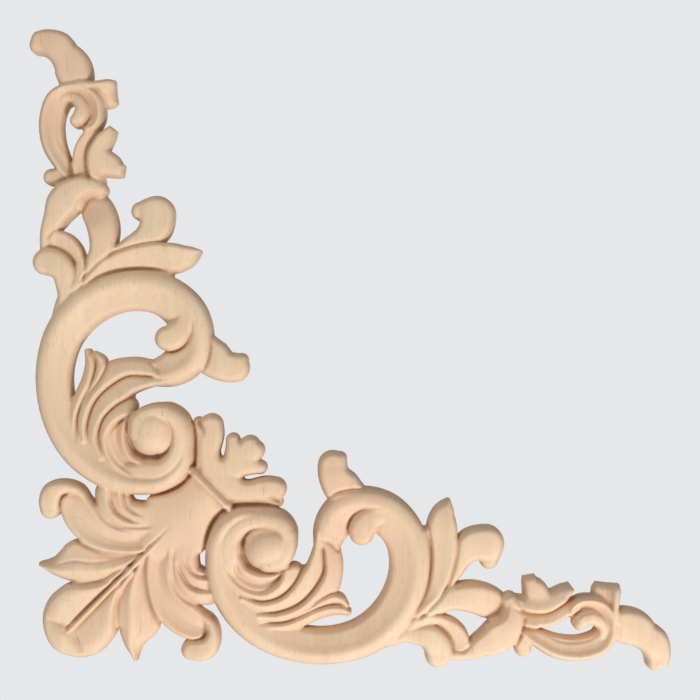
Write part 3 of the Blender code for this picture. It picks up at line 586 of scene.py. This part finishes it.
# %% Cut beside the lapped leaves and along the drawn lines
CUT_WIDTH = 0.5
CUT_DEPTH = 1.0
CUT_OFFSET = 0.6
END_FADE = 4
LOWEST_SHARE = 0.6
LOW_FADE = 1.2
OVERLAP = 1.2
HIGH_FADE = 0.8


def cut_beside_laps(strokes, points, height):
    """Take the cuts beside the lapped leaves down from the surface."""
    for stroke in strokes.values():
        if not stroke.lapped:
            continue
        mask = stroke.near(points)
        mask[mask] &= height[mask] > 0
        for part in np.array_split(np.nonzero(mask)[0], max(1, mask.sum() // AT_ONCE)):
            offset, edge, from_ends = stroke.beside(points[part])
            depth = CUT_DEPTH * np.exp(-((offset + CUT_WIDTH * CUT_OFFSET) / CUT_WIDTH) ** 2)
            depth *= np.clip(from_ends / END_FADE, 0, 1)
            not_below = np.clip((height[part] - LOWEST_SHARE * edge) / LOW_FADE, 0, 1)
            not_covered = np.clip((edge + OVERLAP - height[part]) / HIGH_FADE, 0, 1)
            height[part] -= depth * (not_below * not_covered)


def cut_lines(lines, points, height):
    """Take the drawn cuts down from the surface."""
    for line in lines.values():
        mask = line.near(points)
        if mask.any():
            depth, room = line.read(points[mask])
            height[mask] -= np.where(room > 0, depth, 0)


# %% [markdown]
# A carver blocks out the forms first and cuts between them last. The same order is kept here: the strokes
# of both arms, then those of the diagonal, then the cuts.

# %% Carve
AWAY = -30.0


def carve(points):
    """Height of the carving and distance inside its outline at points (u, v)."""
    height = np.full(len(points), AWAY)
    inside = np.full(len(points), AWAY)
    mirrored = points[:, ::-1]
    for strokes in (arm, cores):
        lay(strokes, points, height, inside)
        lay(strokes, mirrored, height, inside)
    lay(middle, points, height, inside)
    for place in (points, mirrored):
        cut_beside_laps(arm, place, height)
        cut_lines(cuts, place, height)
    cut_lines(middle_cuts, points, height)
    return height, inside


middle_of_eye = SCROLL["eye"][-1][1][:2]
print("height at the middle of the eye:", carve(np.array([middle_of_eye]))[0].round(2), "mm")

# %% [markdown]
# The surface starts as a fine square net over the drawing. Cells that lie on wood are kept, cells that
# touch only at a corner are closed up, and the net's border is pulled onto the true outline.

# %% A net over the drawing
NET = 0.28
MARGIN = 2.0
CLOSING_ROUNDS = 12
cells = int((ARM_LENGTH + 2 * MARGIN) / NET)
ticks = -MARGIN + np.arange(cells + 1) * NET
grid_v, grid_u = np.meshgrid(ticks, ticks)
net_points = np.stack([grid_u.ravel(), grid_v.ravel()], -1)
height_everywhere, room_everywhere = carve(net_points)
wood_at = (room_everywhere > -NET / 2).reshape(cells + 1, cells + 1)
kept = wood_at[:-1, :-1] & wood_at[1:, :-1] & wood_at[:-1, 1:] & wood_at[1:, 1:]


def close_corners(kept):
    """Fill a cell wherever two cells meet at a corner only, until none do."""
    for _ in range(CLOSING_ROUNDS):
        a, b = kept[:-1, :-1], kept[1:, 1:]
        c, d = kept[1:, :-1], kept[:-1, 1:]
        rising = a & b & ~c & ~d
        falling = c & d & ~a & ~b
        if not (rising.any() or falling.any()):
            break
        kept[1:, :-1] |= rising
        kept[:-1, :-1] |= falling
    return kept


kept = close_corners(kept)
print("cells of wood:", int(kept.sum()))

# %% [markdown]
# Each point of a kept cell gets a number. An edge that only one cell uses lies on the border, where the
# saw cut the real piece out.

# %% Number the net's points and find its border
cell_u, cell_v = np.nonzero(kept)
first_corner = cell_u * (cells + 1) + cell_v
corner = np.stack([first_corner, first_corner + cells + 1, first_corner + cells + 2, first_corner + 1], -1)
used, quads = np.unique(corner, return_inverse=True)
quads = quads.reshape(-1, 4)
points = net_points[used].copy()
edges = np.concatenate([quads[:, [k, (k + 1) % 4]] for k in range(4)])
forward = set(map(tuple, edges.tolist()))
border_edges = np.array([(a, b) for a, b in edges.tolist() if (b, a) not in forward])
border = np.unique(border_edges)
print("points:", len(points), "on the border:", len(border))

# %% [markdown]
# The net's border runs in steps, but a sawn edge is smooth. Each border point moves along the slope of its
# distance to the outline, in a few small pulls, and ends a hair inside the solid's box.

# %% Pull the border onto the outline
PULLS = 5
NUDGE = 0.02
LEAST_SLOPE = 0.3
INSET = 0.02
for _ in range(PULLS):
    here = points[border]
    _, room = carve(here)
    slope = np.empty_like(here)
    for axis in range(2):
        ahead = here.copy()
        ahead[:, axis] += NUDGE
        slope[:, axis] = (carve(ahead)[1] - room) / NUDGE
    steep = np.maximum((slope ** 2).sum(-1), LEAST_SLOPE)
    move = -(room / steep)[:, None] * slope
    length = np.linalg.norm(move, axis=1)
    move *= np.minimum(1, NET / 2 / np.maximum(length, TINY))[:, None]
    points[border] = here + move
box_low = np.array(cad_box[0])[[0, 2]] / MM + ORIGIN + INSET
box_high = np.array(cad_box[1])[[0, 2]] / MM + ORIGIN - INSET
points[border] = np.clip(points[border], box_low, box_high)
print("outline from", points[border].min(0).round(2), "to", points[border].max(0).round(2))

# %% [markdown]
# The pulls squeeze or stretch the cells at the border, which would show as a ragged gleam. The next row of
# points moves to the middle of its neighbours.

# %% Even out the points next to the border
EVENINGS = 3
neighbours = [[] for _ in range(len(points))]
for a, b in set((min(e), max(e)) for e in edges.tolist()):
    neighbours[a].append(b)
    neighbours[b].append(a)
on_border = np.zeros(len(points), bool)
on_border[border] = True
near_border = [i for i in range(len(points))
               if not on_border[i] and any(on_border[n] for n in neighbours[i])]
for _ in range(EVENINGS):
    fresh = points.copy()
    for i in near_border:
        fresh[i] = points[neighbours[i]].mean(0)
    points = fresh
print("points evened out:", len(near_border))

# %% [markdown]
# Every edge of the outline is sanded round. A kd-tree finds how far each point is from the nearest border
# point, and the surface drops in a quarter round over the last two millimetres.

# %% Round over the outline
EDGE_WIDTH = 2.0
EDGE_DROP = 2.2
tree = KDTree(len(border))
for number, place in enumerate(points[border]):
    tree.insert((place[0], place[1], 0), number)
tree.balance()
distance = np.array([tree.find((u, v, 0))[2] for u, v in points])
inward = np.clip(distance / EDGE_WIDTH, 0, 1)
rounding = EDGE_DROP * (1 - np.sqrt(1 - (1 - inward) ** 2))
print("points in the rounded edge:", int((inward < 1).sum()))

# %% [markdown]
# A carver finishes the creases with a V-tool, so they run deeper than where two rounded forms would meet.
# The surface is compared with a blurred copy of itself: where it lies below the copy there is a crease, and
# it is cut down further. How far below it lies is kept for the colour, which paints shade and dust into the
# creases.

# %% Helpers for blurring the net
def blurred(field, width):
    """The field averaged with a round bell, one axis at a time."""
    reach = int(math.ceil(3 * width / NET))
    bell = np.exp(-(np.arange(-reach, reach + 1) * NET / width) ** 2 / 2)
    bell /= bell.sum()
    for axis in range(2):
        padded = np.pad(field, [(reach, reach) if a == axis else (0, 0) for a in range(2)])
        size = field.shape[axis]
        field = sum(share * np.take(padded, np.arange(k, k + size), axis=axis)
                    for k, share in enumerate(bell))
    return field


def read_field(field, where):
    """The field's value at points (u, v), between its grid points."""
    place = np.clip((where + MARGIN) / NET, 0, cells - TINY)
    low = place.astype(int)
    part = place - low
    a, b = low[:, 0], low[:, 1]
    first = field[a, b] * (1 - part[:, 1]) + field[a, b + 1] * part[:, 1]
    second = field[a + 1, b] * (1 - part[:, 1]) + field[a + 1, b + 1] * part[:, 1]
    return first * (1 - part[:, 0]) + second * part[:, 0]


# %% [markdown]
# A slight blur stands for the sanding, and a wider one gives the level around each point. Both are divided
# by the blurred share of wood, so that the empty ground doesn't count.

# %% Deepen the creases
SANDED = 0.32
BLUR = 0.9
DEEPEN = 1.1
SHALLOWEST = 2.2
TOP_GAP = 0.01
JUST_OUTSIDE = -0.1
LEAST_WOOD = 1e-3
FULL_CREASE = 0.9
on_wood = (room_everywhere > JUST_OUTSIDE).reshape(cells + 1, cells + 1).astype(float)
raw = height_everywhere.reshape(cells + 1, cells + 1) * on_wood
sanded = read_field(blurred(raw, SANDED) / np.maximum(blurred(on_wood, SANDED), LEAST_WOOD), points)
level = read_field(blurred(raw, BLUR) / np.maximum(blurred(on_wood, BLUR), LEAST_WOOD), points)
below = np.minimum(sanded - level, 0)
height = np.clip(sanded + DEEPEN * below - rounding, SHALLOWEST, THICKNESS - TOP_GAP)
# How deep each point lies in a crease, kept to paint shade and dust into the creases.
crease = np.clip(-below / FULL_CREASE, 0, 1)
print("heights from", round(float(height.min()), 2), "to", round(float(height.max()), 2), "mm")

# %% [markdown]
# The net becomes the carved face. Its border drops straight down to the flat back as the sawn edge, and the
# same net lies flat as the back, so that the piece is one closed body. Points are numbered layer by layer.

# %% Build the closed body
WALL_ROWS = 3


def place_in_frame(u, v, h):
    return np.stack([(u - ORIGIN) * MM, -h * MM, (v - ORIGIN) * MM], -1)


count = len(points)
layers = [place_in_frame(points[:, 0], points[:, 1], height)]
number_of = [np.arange(count)]
start = count
for row in range(1, WALL_ROWS):
    wall_height = height[border] * (1 - row / WALL_ROWS)
    layers.append(place_in_frame(points[border, 0], points[border, 1], wall_height))
    numbers = np.zeros(count, int)
    numbers[border] = start + np.arange(len(border))
    number_of.append(numbers)
    start += len(border)
layers.append(place_in_frame(points[:, 0], points[:, 1], np.zeros(count)))
number_of.append(start + np.arange(count))
faces = [quads, number_of[-1][quads[:, ::-1]]]
a, b = border_edges[:, 0], border_edges[:, 1]
for upper, lower in zip(number_of, number_of[1:]):
    faces.append(np.stack([upper[b], upper[a], lower[a], lower[b]], -1))
mesh = bpy.data.meshes.new("carved_face")
mesh.from_pydata(np.concatenate(layers), [], np.concatenate(faces))
# The crease depths are stored with the mesh, where the wood turns them into painted shade and dust.
shade_and_dust_of_all = np.zeros(start + count)
shade_and_dust_of_all[:count] = crease
mesh.attributes.new("crease", "FLOAT", "POINT").data.foreach_set("value", shade_and_dust_of_all)
carving = bpy.data.objects.new("carved_face", mesh)
bpy.context.scene.collection.objects.link(carving)
print("quads in the full net:", len(mesh.polygons))

# %% [markdown]
# The net is finer than it needs to be on the back and on the broad faces. The decimate modifier merges
# triangles where the surface is flat first, so the creases keep their full detail.

# %% Thin out the flat parts
TRIANGLES = 194000
merge = carving.modifiers.new("thin_out", "DECIMATE")
merge.ratio = TRIANGLES / (2 * len(mesh.polygons))
thinned = bpy.data.meshes.new_from_object(carving.evaluated_get(bpy.context.evaluated_depsgraph_get()))
carving.modifiers.remove(merge)
carving.data = thinned
bpy.data.meshes.remove(mesh)
mesh = carving.data
mesh.name = "carved_face"
mesh.calc_loop_triangles()
print("triangles:", len(mesh.loop_triangles))

# %% [markdown]
# Sanded wood has no facets, so it is shaded smooth, and an edge stays sharp only where it turns by more
# than the angle below. No edge of a solid may be open.

# %% Prove that it is closed, and shade it smooth
SHARP_ANGLE = 62
bm = bmesh.new()
bm.from_mesh(mesh)
open_edges = [edge for edge in bm.edges if len(edge.link_faces) != 2]
print("open edges:", len(open_edges), "volume in cm3:", round(bm.calc_volume() * 1e6, 2))
bm.free()
mesh.shade_smooth()
mesh.set_sharp_from_angle(angle=math.radians(SHARP_ANGLE))

# %% [markdown]
# Bare, sanded rubberwood is pale straw with pinker patches. Its grain shows as faint long streaks and as
# short dark pores, both along one direction, here upright. The creases are darkened with painted shade,
# and with the dust and rougher cut of the V-tool. All of it is mixed from noise, stretched along the grain.

# %% Helpers for the wood's nodes
wood = bpy.data.materials.new("sanded_rubberwood")
wood.use_nodes = True
nodes, links = wood.node_tree.nodes, wood.node_tree.links
shader = nodes["Principled BSDF"]
object_place = nodes.new("ShaderNodeTexCoord").outputs["Object"]


def stretched(across, along, turn=0.0):
    """Coordinates for noise: repeats per metre across the grain and along it."""
    mapping = nodes.new("ShaderNodeMapping")
    mapping.inputs["Scale"].default_value = (across, across, along)
    mapping.inputs["Rotation"].default_value = (0, math.radians(turn), 0)
    links.new(object_place, mapping.inputs["Vector"])
    return mapping.outputs["Vector"]


def noise(vector, detail, rough, warp=0.0):
    texture = nodes.new("ShaderNodeTexNoise")
    texture.inputs["Scale"].default_value = 1.0
    texture.inputs["Detail"].default_value = detail
    texture.inputs["Roughness"].default_value = rough
    texture.inputs["Distortion"].default_value = warp
    links.new(vector, texture.inputs["Vector"])
    return texture.outputs["Fac"]


def rescaled(value, low, high, to_low=0.0, to_high=1.0):
    step = nodes.new("ShaderNodeMapRange")
    for name, number in (("From Min", low), ("From Max", high), ("To Min", to_low), ("To Max", to_high)):
        step.inputs[name].default_value = number
    links.new(value, step.inputs["Value"])
    return step.outputs["Result"]


def mixed(factor, first, second):
    mix = nodes.new("ShaderNodeMix")
    mix.data_type = "RGBA"
    links.new(factor, mix.inputs["Factor"])
    for socket, value in ((mix.inputs["A"], first), (mix.inputs["B"], second)):
        if isinstance(value, tuple):
            socket.default_value = value
        else:
            links.new(value, socket)
    return mix.outputs["Result"]


# %% [markdown]
# Each layer of the wood is a noise with its repeats across and along the grain, its detail and roughness,
# and the range of its values that shows. Patches are broad, growth bands long, streaks fine and pores
# short.

# %% Patches, growth bands and streaks
STRAW = (0.82, 0.60, 0.40, 1)
PINK = (0.80, 0.55, 0.37, 1)
PALE = (0.87, 0.68, 0.48, 1)
TAN = (0.66, 0.43, 0.26, 1)
PATCH_REPEATS, PATCH_NOISE, PATCH_RANGE = (26, 9), (3, 0.5, 0.4), (0.42, 0.66)
BAND_REPEATS, BAND_NOISE, BAND_RANGE = (150, 5, 2.0), (4, 0.55, 0.6), (0.48, 0.72, 0.0, 0.55)
STREAK_REPEATS, STREAK_NOISE, STREAK_RANGE = (900, 16, 1.0), (3, 0.6, 0.2), (0.52, 0.74, 0.0, 0.34)
patches = rescaled(noise(stretched(*PATCH_REPEATS), *PATCH_NOISE), *PATCH_RANGE)
colour = mixed(patches, STRAW, PINK)
bands = rescaled(noise(stretched(*BAND_REPEATS), *BAND_NOISE), *BAND_RANGE)
colour = mixed(bands, colour, PALE)
streaks = rescaled(noise(stretched(*STREAK_REPEATS), *STREAK_NOISE), *STREAK_RANGE)
colour = mixed(streaks, colour, TAN)
print("nodes with the broad figure:", len(nodes))

# %% [markdown]
# Rubberwood's open pores show as short dark strokes along the grain. A noise that repeats often across the
# grain and seldom along it, cut off high, gives them all at once.

# %% Pores
PORE_BROWN = (0.46, 0.26, 0.13, 1)
PORE_REPEATS, PORE_NOISE, PORE_RANGE = (2600, 130), (2, 0.5), (0.66, 0.74, 0.0, 0.5)
pores = rescaled(noise(stretched(*PORE_REPEATS), *PORE_NOISE), *PORE_RANGE)
colour = mixed(pores, colour, PORE_BROWN)
print("nodes with the pores:", len(nodes))

# %% [markdown]
# The value stored with the mesh says how deep in a crease each point lies. It tints the wood brown: partly
# painted shade, where the creases lie in shadow, and partly the dust and rough cut of the tool.

# %% Painted shade and dust in the creases
CREASE_SHADE_AND_DUST_BROWN = (0.36, 0.19, 0.09, 1)
CREASE_SHADE_AND_DUST_RANGE = (0.08, 0.9, 0.0, 0.46)
# Painted shade, with some dust: the deeper a point lies in a crease, the browner the wood.
crease_shade_and_dust = nodes.new("ShaderNodeAttribute")
crease_shade_and_dust.attribute_name = "crease"
colour = mixed(rescaled(crease_shade_and_dust.outputs["Fac"], *CREASE_SHADE_AND_DUST_RANGE), colour, CREASE_SHADE_AND_DUST_BROWN)
links.new(colour, shader.inputs["Base Color"])
print("nodes with the creases:", len(nodes))

# %% [markdown]
# Sanded, unfinished wood is nearly matt. The roughness varies a little along the grain, and a shallow bump
# lets pores and fibres catch the light.

# %% Sheen and the fine relief of the grain
SHEEN_REPEATS, SHEEN_NOISE, SHEEN_RANGE = (300, 40), (3, 0.5), (0.3, 0.7, 0.50, 0.66)
GRAIN_REPEATS, GRAIN_NOISE = (1500, 60), (4, 0.6)
GLOSS = 0.35
BUMP_STRENGTH = 0.35
BUMP_HEIGHT = 0.00012
sheen = rescaled(noise(stretched(*SHEEN_REPEATS), *SHEEN_NOISE), *SHEEN_RANGE)
links.new(sheen, shader.inputs["Roughness"])
shader.inputs["Specular IOR Level"].default_value = GLOSS
relief = nodes.new("ShaderNodeMath")
relief.operation = "SUBTRACT"
links.new(noise(stretched(*GRAIN_REPEATS), *GRAIN_NOISE), relief.inputs[0])
links.new(pores, relief.inputs[1])
bump = nodes.new("ShaderNodeBump")
bump.inputs["Strength"].default_value = BUMP_STRENGTH
bump.inputs["Distance"].default_value = BUMP_HEIGHT
links.new(relief.outputs["Value"], bump.inputs["Height"])
links.new(bump.outputs["Normal"], shader.inputs["Normal"])
mesh.materials.clear()
mesh.materials.append(wood)
print("nodes in the wood:", len(nodes))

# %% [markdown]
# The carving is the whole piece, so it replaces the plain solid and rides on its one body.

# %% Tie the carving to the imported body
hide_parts("corner_onlay")
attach(carving, "root")

# %% [markdown]
# The photograph looks straight at the carved face, so the camera does too, from far enough away that the
# arms keep their drawing.

# %% Camera
CENTRE = (0.0555, 0.0555)
CAMERA_DISTANCE = 0.52
LENS = 85
SENSOR = 36
camera_data = bpy.data.cameras.new("straight_on")
camera_data.lens = LENS
camera_data.sensor_width = SENSOR
camera = bpy.data.objects.new("straight_on", camera_data)
camera.location = (CENTRE[0], -CAMERA_DISTANCE, CENTRE[1])
camera.rotation_euler = (math.radians(90), 0, 0)
bpy.context.scene.collection.objects.link(camera)
bpy.context.scene.camera = camera
print("camera at", tuple(camera.location))

# %% [markdown]
# The floor is plain and pale. It lies well below the piece, and below the lights, so that it never cuts
# through one of them.

# %% Floor
FLOOR_SIZE = 3.6
FLOOR_PLACE = (0.055, 0, -0.55)
FLOOR_COLOUR = (0.88, 0.88, 0.87, 1)
FLOOR_ROUGHNESS = 0.8
FLOOR_GLOW = 0.2
bpy.ops.mesh.primitive_plane_add(size=FLOOR_SIZE, location=FLOOR_PLACE)
floor = bpy.context.object
floor.name = "pale_floor"
plaster = bpy.data.materials.new("pale_floor")
plaster.use_nodes = True
matt = plaster.node_tree.nodes["Principled BSDF"]
matt.inputs["Base Color"].default_value = FLOOR_COLOUR
matt.inputs["Roughness"].default_value = FLOOR_ROUGHNESS
matt.inputs["Emission Color"].default_value = (1, 1, 1, 1)
matt.inputs["Emission Strength"].default_value = FLOOR_GLOW
floor.data.materials.append(plaster)
print("floor at", tuple(floor.location))

# %% [markdown]
# The surroundings are pale where the camera sees them but weaker as a light, or they would fill every
# hollow and the carving would look flat. The Standard view keeps the tones of pale wood apart, which the
# default view presses together.

# %% Surroundings
WORLD_COLOUR = (0.93, 0.94, 0.96, 1)
AS_LIGHT = 0.38
AS_SEEN = 0.85
world = bpy.data.worlds.new("studio")
world.use_nodes = True
sky = world.node_tree.nodes["Background"]
sky.inputs["Color"].default_value = WORLD_COLOUR
seen = world.node_tree.nodes.new("ShaderNodeLightPath")
strength = world.node_tree.nodes.new("ShaderNodeMapRange")
strength.inputs["To Min"].default_value = AS_LIGHT
strength.inputs["To Max"].default_value = AS_SEEN
world.node_tree.links.new(seen.outputs["Is Camera Ray"], strength.inputs["Value"])
world.node_tree.links.new(strength.outputs["Result"], sky.inputs["Strength"])
bpy.context.scene.world = world
bpy.context.scene.view_settings.view_transform = "Standard"
print("surroundings:", AS_LIGHT, "as light,", AS_SEEN, "as seen")

# %% [markdown]
# The main light is a soft square low down on the right, so each ridge gets a bright side and a shaded one.
# A weaker and larger one, in front and high on the left, opens the shade.

# %% Lights
LIT_POINT = (0.055, 0, 0.055)
BELOW = {"place": (0.30, -0.42, -0.38), "size": 0.22, "power": 2.6}
IN_FRONT = {"place": (-0.30, -0.80, 0.35), "size": 0.40, "power": 1.5}


def soft_light(name, place, size, power):
    data = bpy.data.lights.new(name, "AREA")
    data.shape = "SQUARE"
    data.size = size
    data.energy = power
    lamp = bpy.data.objects.new(name, data)
    lamp.location = place
    direction = np.array(LIT_POINT) - np.array(place)
    lamp.rotation_euler = Vector(direction).to_track_quat("-Z", "Y").to_euler()
    lamp.visible_camera = False
    bpy.context.scene.collection.objects.link(lamp)


soft_light("light_from_below", **BELOW)
soft_light("light_from_front", **IN_FRONT)
print("lights:", len(bpy.data.lights))
